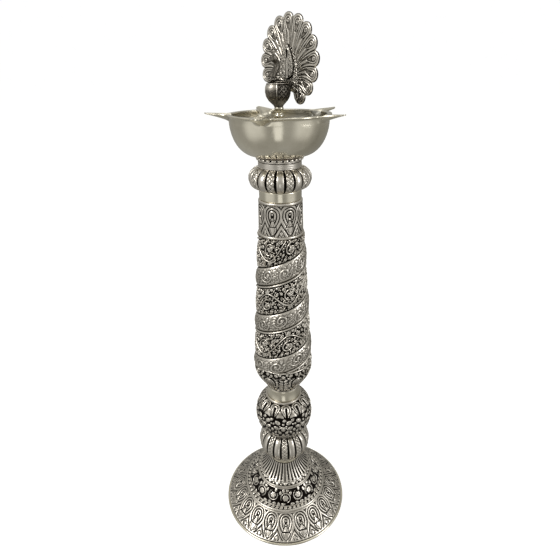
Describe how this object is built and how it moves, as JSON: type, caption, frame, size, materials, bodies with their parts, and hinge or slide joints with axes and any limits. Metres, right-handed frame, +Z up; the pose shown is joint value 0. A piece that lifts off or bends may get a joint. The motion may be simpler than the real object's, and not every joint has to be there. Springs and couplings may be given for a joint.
{
  "type": "standing oil lamp",
  "caption": "Tall embossed standing oil lamp with a flared foot and a spiral column, an open wick bowl with folded spouts that unscrews, and a peacock finial that unscrews from the bowl.",
  "frame": {"origin": "middle of the foot, on the surface that the lamp stands on", "axes": "+Z up the lamp's axis, -Y towards the picture's camera, +X to its right; one spout of the bowl points along -X"},
  "size_m": [0.2558, 0.2558, 0.9177],
  "materials": {
    "antique_silver": "silver-plated embossed sheet, darkened in the recesses and rubbed bright on the high points",
    "polished_nickel": "warm polished nickel silver with fine rubbing marks",
    "dark_metal": "dull, darkened",
    "steel_hardware": "plain turned steel",
    "leather_washer": "oiled leather"
  },
  "bodies": {
    "stand": {"foot_ring": "polished_nickel", "base_skirt": "antique_silver", "outer_ring": "antique_silver", "floral_tier": "antique_silver", "inner_ring": "antique_silver", "fluted_cone": "antique_silver", "base_collar": "polished_nickel", "lower_bulb": "antique_silver", "waist_ring": "dark_metal", "ball_lower": "antique_silver", "ball_upper": "antique_silver", "ball_ring": "antique_silver", "neck_band": "polished_nickel", "leaf_cup": "antique_silver", "column_shell": "antique_silver", "lower_sleeve_ring": "antique_silver", "feather_sleeve": "antique_silver", "upper_sleeve_ring": "antique_silver", "plain_band": "polished_nickel", "upper_bulb": "antique_silver", "top_collar": "antique_silver", "bead_ring": "antique_silver", "closing_plate": "dark_metal", "ballast_ring": "dark_metal", "foot_washer": "steel_hardware", "foot_nut": "steel_hardware", "top_cap": "steel_hardware", "top_nut": "steel_hardware", "tie_rod": "steel_hardware", "base_disc": "steel_hardware", "ball_disc": "steel_hardware", "neck_disc": "steel_hardware", "column_disc": "steel_hardware", "sleeve_disc": "steel_hardware"},
    "bowl_seat": {"bowl_seat_washer": "leather_washer"},
    "bowl_body": {"bowl": "polished_nickel", "bowl_boss": "polished_nickel"},
    "finial_seat": {"finial_washer": "leather_washer"},
    "finial": {"finial_stem": "polished_nickel", "bird_body": "antique_silver", "bird_neck": "antique_silver", "crest": "antique_silver", "tail_fan": "antique_silver", "tail_coverts": "antique_silver", "tail_rivet_1": "polished_nickel", "tail_rivet_2": "polished_nickel"}
  },
  "joints": [
    {"name": "bowl_turn", "type": "hinge", "parent": "stand", "child": "bowl_seat", "pos_m": [0, 0, 0.7356], "axis": [0, 0, 1], "range_deg": [0, 2880]},
    {"name": "bowl_lift", "type": "slide", "parent": "bowl_seat", "child": "bowl_body", "axis": [0, 0, 1], "range_m": [0, 0.012]},
    {"name": "finial_turn", "type": "hinge", "parent": "bowl_body", "child": "finial_seat", "pos_m": [0, 0, 0.766], "axis": [0, 0, 1], "range_deg": [0, 2880]},
    {"name": "finial_lift", "type": "slide", "parent": "finial_seat", "child": "finial", "axis": [0, 0, 1], "range_m": [0, 0.01]}
  ],
  "couplings": [
    {"joint": "bowl_lift", "follows": "bowl_turn", "m_per_rad": 0.00023873},
    {"joint": "finial_lift", "follows": "finial_turn", "m_per_rad": 0.00019894}
  ]
}
